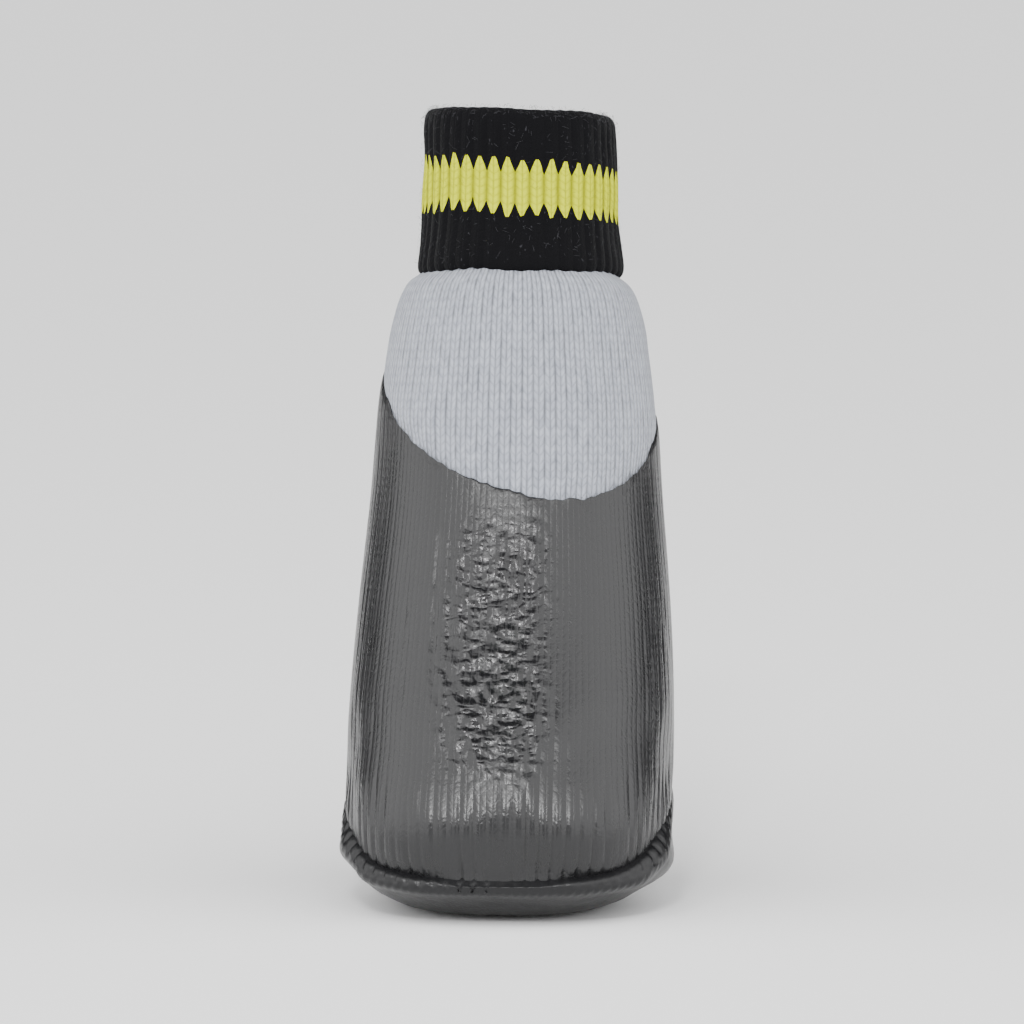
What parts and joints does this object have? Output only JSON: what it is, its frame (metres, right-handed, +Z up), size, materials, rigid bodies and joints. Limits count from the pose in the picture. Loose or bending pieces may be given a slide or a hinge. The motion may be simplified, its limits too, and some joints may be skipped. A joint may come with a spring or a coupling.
{
  "type": "dog boot",
  "caption": "Knitted pet boot with a ribbed cuff and a rubber-dipped foot, hollow and open at the collar, standing on its sole.",
  "frame": {"origin": "on the floor, under the middle of the boot's outline", "axes": "+Z up, toe toward -Y, left to right along X"},
  "size_m": [0.0516, 0.08, 0.127],
  "materials": {
    "grey_knit": "plain knit, matte",
    "black_rib": "one by one rib with a yellow band, matte",
    "dip_rubber": "satin, ribbed by the knit under it",
    "sole_rubber": "satin, smooth"
  },
  "bodies": {
    "root": {"knit_body": "grey_knit", "ribbed_cuff": "black_rib", "rubber_coat": "dip_rubber", "rubber_sole": "sole_rubber"}
  },
  "joints": []
}
